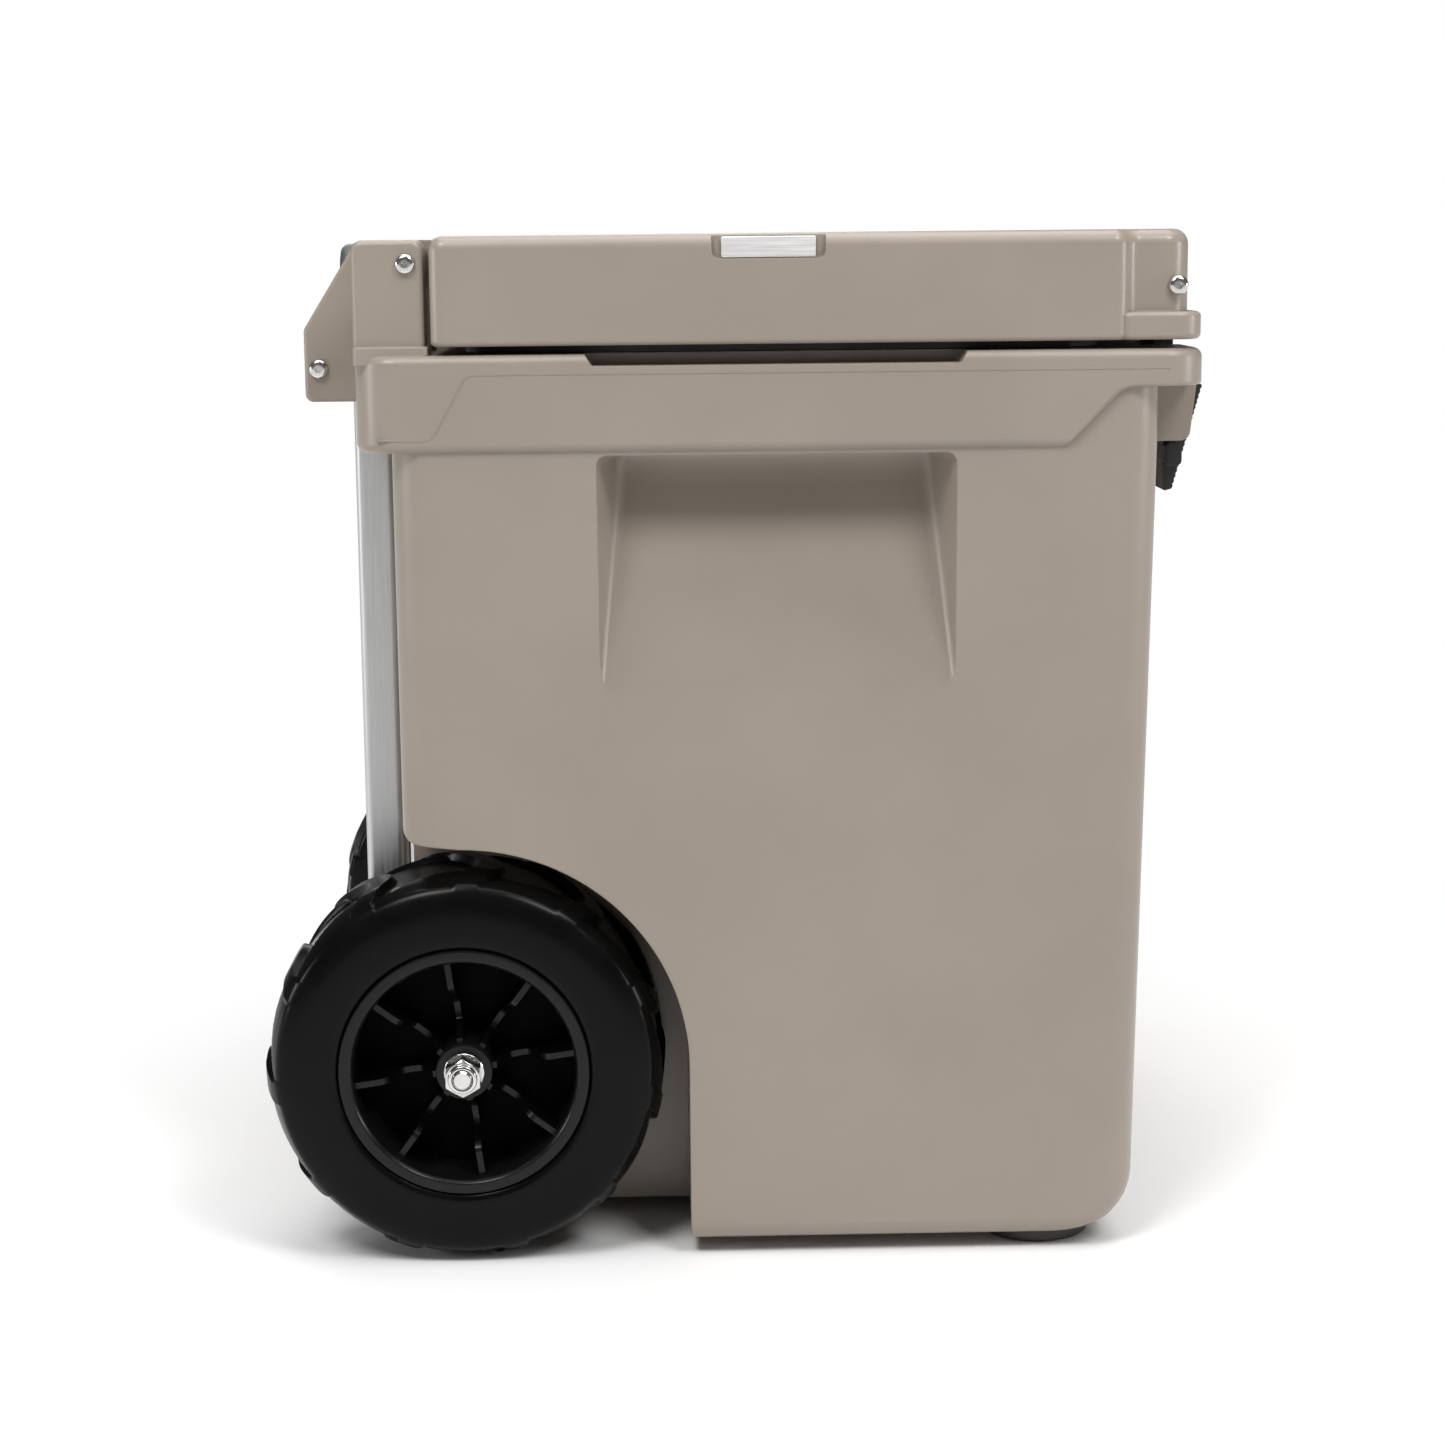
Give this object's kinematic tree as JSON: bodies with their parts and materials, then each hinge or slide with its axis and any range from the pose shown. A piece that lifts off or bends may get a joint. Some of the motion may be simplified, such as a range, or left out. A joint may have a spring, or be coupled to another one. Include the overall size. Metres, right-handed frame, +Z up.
{
  "type": "wheeled cooler",
  "caption": "Hard-sided rotomoulded cooler with a hinged lid, rubber latches, side hand holds, rear wheels on an axle, front feet and a telescopic pull handle.",
  "frame": {"origin": "on the floor, under the middle of the cooler's outline", "axes": "+X towards the front, where the latches are; +Y towards the left side; +Z up"},
  "size_m": [0.4716, 0.4826, 0.5074],
  "materials": {
    "tan_polyethylene": "satin rotomoulded polyethylene, faintly pebbled",
    "black_rubber": "matt moulded rubber",
    "tyre_rubber": "satin moulded rubber",
    "black_plastic": "semi-gloss injection moulded plastic",
    "grey_plastic": "fine-grained injection moulded plastic",
    "aluminium": "satin anodised, drawn along its length",
    "stainless_steel": "bright turned and pressed"
  },
  "bodies": {
    "body": {"body_shell": "tan_polyethylene", "hinge_rod": "stainless_steel", "hinge_rod_screw_right": "stainless_steel", "hinge_rod_screw_left": "stainless_steel", "handle_rod": "stainless_steel", "handle_rod_screw_right": "stainless_steel", "handle_rod_screw_left": "stainless_steel", "handle_housing": "grey_plastic", "axle_rod": "stainless_steel", "axle_nut_right": "stainless_steel", "axle_nut_left": "stainless_steel", "axle_washer_right": "stainless_steel", "axle_washer_left": "stainless_steel", "axle_spacer_right": "stainless_steel", "axle_spacer_left": "stainless_steel", "tube_bracket_right": "grey_plastic", "tube_bracket_left": "grey_plastic", "bracket_screw_right": "stainless_steel", "bracket_screw_left": "stainless_steel", "outer_tube_right": "aluminium", "outer_tube_left": "aluminium", "outer_collar_right": "grey_plastic", "outer_collar_left": "grey_plastic", "foot_right": "black_rubber", "foot_left": "black_rubber"},
    "lid": {"lid_shell": "tan_polyethylene", "lid_seal": "black_rubber", "lid_side_plate": "aluminium", "latch_rod": "stainless_steel", "latch_rod_screw_right": "stainless_steel", "latch_rod_screw_left": "stainless_steel"},
    "latch_right": {"latch_right": "black_rubber"},
    "latch_left": {"latch_left": "black_rubber"},
    "wheel_right": {"tyre_right": "tyre_rubber", "wheel_hub_right": "black_plastic", "wheel_sleeve_right": "stainless_steel"},
    "wheel_left": {"tyre_left": "tyre_rubber", "wheel_hub_left": "black_plastic", "wheel_sleeve_left": "stainless_steel"},
    "handle_middle": {"middle_tube_right": "aluminium", "middle_tube_left": "aluminium", "middle_collar_right": "grey_plastic", "middle_collar_left": "grey_plastic"},
    "handle_top": {"inner_tube_right": "aluminium", "inner_tube_left": "aluminium", "handle_grip": "grey_plastic", "lock_plug_right": "grey_plastic", "lock_plug_left": "grey_plastic", "return_spring_right": "stainless_steel", "return_spring_left": "stainless_steel"},
    "release_button": {"release_button": "grey_plastic", "release_yoke": "stainless_steel", "release_rod_right": "stainless_steel", "release_rod_left": "stainless_steel"},
    "drain_plug": {"drain_plug": "black_plastic", "drain_seal": "black_rubber"}
  },
  "joints": [
    {"name": "lid_hinge", "type": "hinge", "parent": "body", "child": "lid", "pos_m": [-0.1549, 0, 0.4943], "axis": [0, -1, 0], "range_deg": [0, 90]},
    {"name": "latch_right_swing", "type": "hinge", "parent": "lid", "child": "latch_right", "pos_m": [0.2128, -0.1437, 0.4808], "axis": [0, -1, 0], "range_deg": [-5, 95]},
    {"name": "latch_left_swing", "type": "hinge", "parent": "lid", "child": "latch_left", "pos_m": [0.2128, 0.1437, 0.4808], "axis": [0, -1, 0], "range_deg": [-5, 95]},
    {"name": "wheel_right_spin", "type": "hinge", "parent": "body", "child": "wheel_right", "pos_m": [-0.1363, -0.22765, 0.0998], "axis": [0, 1, 0], "continuous": true},
    {"name": "wheel_left_spin", "type": "hinge", "parent": "body", "child": "wheel_left", "pos_m": [-0.1363, 0.22765, 0.0998], "axis": [0, 1, 0], "continuous": true},
    {"name": "handle_middle_slide", "type": "slide", "parent": "body", "child": "handle_middle", "axis": [0, 0, 1], "range_m": [0, 0.27]},
    {"name": "handle_top_slide", "type": "slide", "parent": "handle_middle", "child": "handle_top", "axis": [0, 0, 1], "range_m": [0, 0.27]},
    {"name": "release_button_press", "type": "slide", "parent": "handle_top", "child": "release_button", "axis": [0, 0, -1], "range_m": [0, 0.004], "stiffness_N_per_m": 500, "springref_m": -0.006, "deforming": ["return_spring_right", "return_spring_left"]},
    {"name": "drain_plug_pull", "type": "slide", "parent": "body", "child": "drain_plug", "axis": [-1, 0, 0], "range_m": [0, 0.05]}
  ]
}
